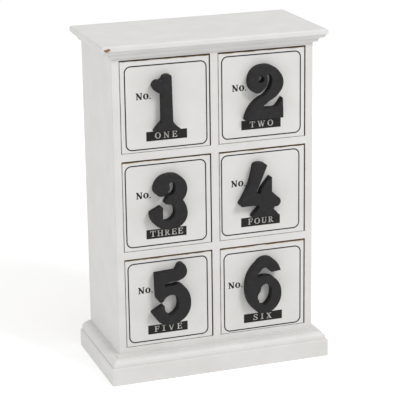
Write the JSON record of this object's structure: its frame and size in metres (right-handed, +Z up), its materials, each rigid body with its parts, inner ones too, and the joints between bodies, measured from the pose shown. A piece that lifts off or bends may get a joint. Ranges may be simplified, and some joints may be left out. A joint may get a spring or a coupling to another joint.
{
  "type": "small chest of numbered drawers",
  "caption": "Small white-painted table-top chest of numbered drawers with a moulded top and skirting; each drawer is pulled by a black cut-out numeral.",
  "frame": {"origin": "on the ground, under the middle of the whole chest", "axes": "+Z up, +X to the viewer's right, the drawers face -Y and pull out along -Y"},
  "size_m": [0.267, 0.1404, 0.395],
  "materials": {
    "painted_mdf": "satin warm-white paint on fibreboard, worn to brown at the edges",
    "raw_mdf": "raw brown fibreboard",
    "black_numerals": "satin black paint on a sawn board",
    "bright_steel": "bright zinc plated"
  },
  "bodies": {
    "case": {"side_left": "painted_mdf", "side_right": "painted_mdf", "bottom_board": "painted_mdf", "top_panel": "painted_mdf", "centre_divider": "painted_mdf", "shelf_upper": "painted_mdf", "shelf_lower": "painted_mdf", "back_panel": "raw_mdf", "back_pins": "bright_steel", "top_board": "painted_mdf", "cornice_front": "painted_mdf", "cornice_left": "painted_mdf", "cornice_right": "painted_mdf", "plinth_front": "painted_mdf", "plinth_left": "painted_mdf", "plinth_right": "painted_mdf", "plinth_back": "raw_mdf", "glue_blocks": "raw_mdf"},
    "drawer_one": {"drawer_one_front": "painted_mdf", "drawer_one_left": "raw_mdf", "drawer_one_right": "raw_mdf", "drawer_one_back": "raw_mdf", "drawer_one_bottom": "raw_mdf", "drawer_one_numeral": "black_numerals", "drawer_one_screws": "bright_steel"},
    "drawer_two": {"drawer_two_front": "painted_mdf", "drawer_two_left": "raw_mdf", "drawer_two_right": "raw_mdf", "drawer_two_back": "raw_mdf", "drawer_two_bottom": "raw_mdf", "drawer_two_numeral": "black_numerals", "drawer_two_screws": "bright_steel"},
    "drawer_three": {"drawer_three_front": "painted_mdf", "drawer_three_left": "raw_mdf", "drawer_three_right": "raw_mdf", "drawer_three_back": "raw_mdf", "drawer_three_bottom": "raw_mdf", "drawer_three_numeral": "black_numerals", "drawer_three_screws": "bright_steel"},
    "drawer_four": {"drawer_four_front": "painted_mdf", "drawer_four_left": "raw_mdf", "drawer_four_right": "raw_mdf", "drawer_four_back": "raw_mdf", "drawer_four_bottom": "raw_mdf", "drawer_four_numeral": "black_numerals", "drawer_four_screws": "bright_steel"},
    "drawer_five": {"drawer_five_front": "painted_mdf", "drawer_five_left": "raw_mdf", "drawer_five_right": "raw_mdf", "drawer_five_back": "raw_mdf", "drawer_five_bottom": "raw_mdf", "drawer_five_numeral": "black_numerals", "drawer_five_screws": "bright_steel"},
    "drawer_six": {"drawer_six_front": "painted_mdf", "drawer_six_left": "raw_mdf", "drawer_six_right": "raw_mdf", "drawer_six_back": "raw_mdf", "drawer_six_bottom": "raw_mdf", "drawer_six_numeral": "black_numerals", "drawer_six_screws": "bright_steel"}
  },
  "joints": [
    {"name": "drawer_one_slide", "type": "slide", "parent": "case", "child": "drawer_one", "axis": [0, -1, 0], "range_m": [0, 0.085]},
    {"name": "drawer_two_slide", "type": "slide", "parent": "case", "child": "drawer_two", "axis": [0, -1, 0], "range_m": [0, 0.085]},
    {"name": "drawer_three_slide", "type": "slide", "parent": "case", "child": "drawer_three", "axis": [0, -1, 0], "range_m": [0, 0.085]},
    {"name": "drawer_four_slide", "type": "slide", "parent": "case", "child": "drawer_four", "axis": [0, -1, 0], "range_m": [0, 0.085]},
    {"name": "drawer_five_slide", "type": "slide", "parent": "case", "child": "drawer_five", "axis": [0, -1, 0], "range_m": [0, 0.085]},
    {"name": "drawer_six_slide", "type": "slide", "parent": "case", "child": "drawer_six", "axis": [0, -1, 0], "range_m": [0, 0.085]}
  ]
}
